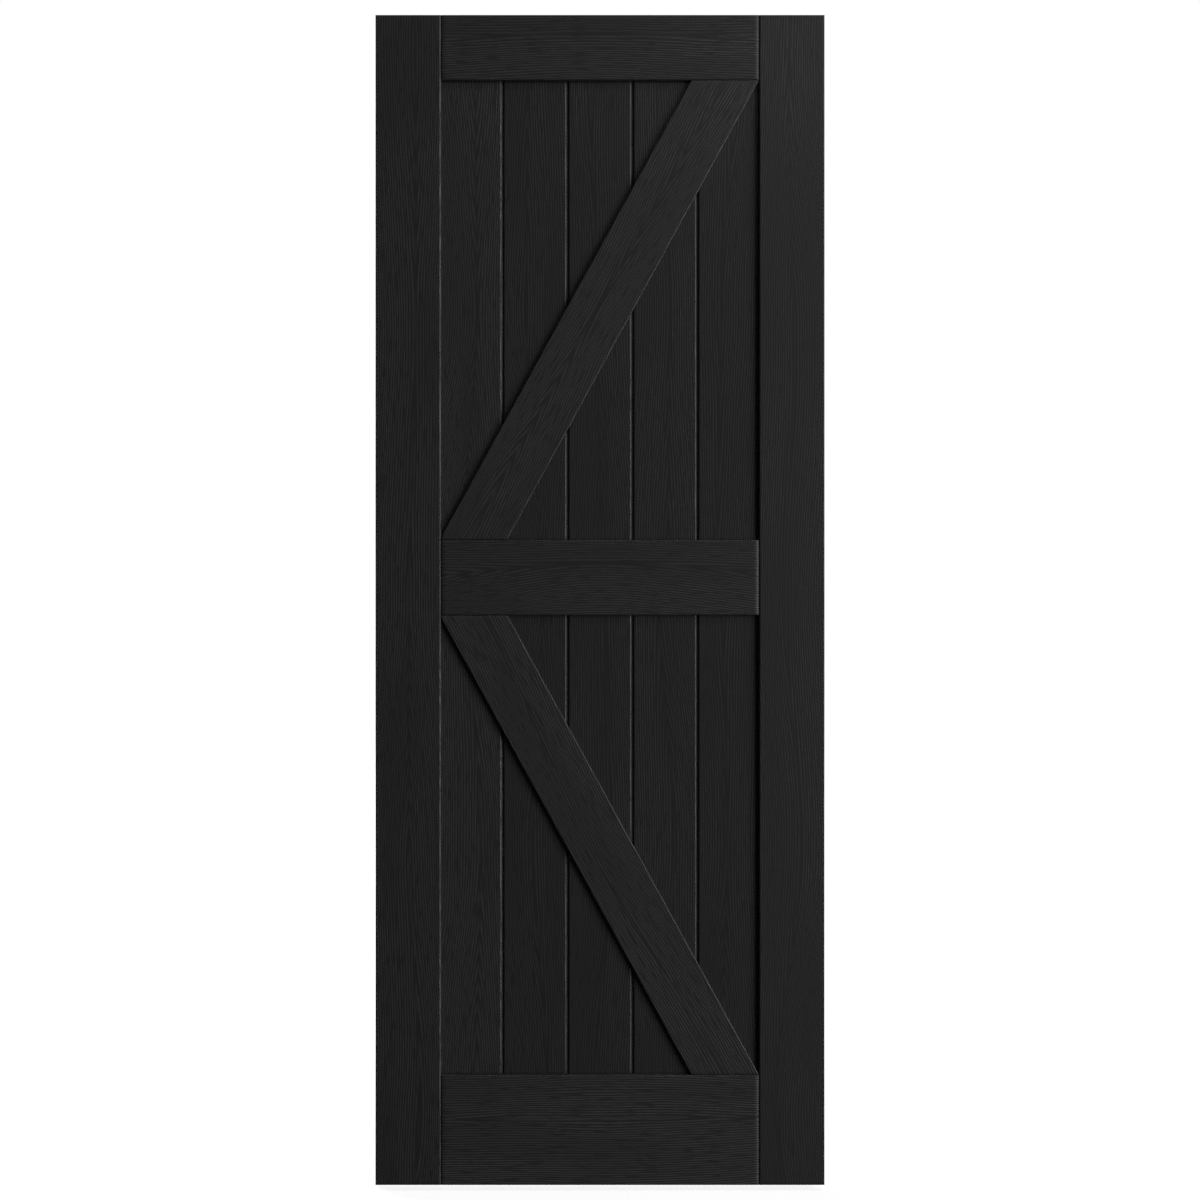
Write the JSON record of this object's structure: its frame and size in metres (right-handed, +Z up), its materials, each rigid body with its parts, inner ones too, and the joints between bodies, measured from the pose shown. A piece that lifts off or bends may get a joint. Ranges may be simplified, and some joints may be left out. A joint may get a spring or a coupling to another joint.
{
  "type": "barn door",
  "caption": "Black barn door leaf for a sliding track: framed vertical boards with a diagonal brace across each panel, both faces alike, bare edges for hangers.",
  "frame": {"origin": "centre of the door's top edge, which it hangs by", "axes": "+Z up the door, +X to the right as seen from the front, front face towards -Y"},
  "size_m": [0.819, 0.035, 2.134],
  "materials": {
    "frame_skin": "satin black skin with an embossed wood grain along each piece",
    "board_skin": "satin black skin with an embossed upright wood grain",
    "brace_skin": "satin black skin with an embossed wood grain along the brace"
  },
  "bodies": {
    "root": {"left_stile": "frame_skin", "right_stile": "frame_skin", "top_rail": "frame_skin", "mid_rail": "frame_skin", "bottom_rail": "frame_skin", "upper_board_1": "board_skin", "upper_board_2": "board_skin", "upper_board_3": "board_skin", "upper_board_4": "board_skin", "upper_board_5": "board_skin", "lower_board_1": "board_skin", "lower_board_2": "board_skin", "lower_board_3": "board_skin", "lower_board_4": "board_skin", "lower_board_5": "board_skin", "upper_brace_front": "brace_skin", "lower_brace_front": "brace_skin", "upper_brace_back": "brace_skin", "lower_brace_back": "brace_skin"}
  },
  "joints": []
}
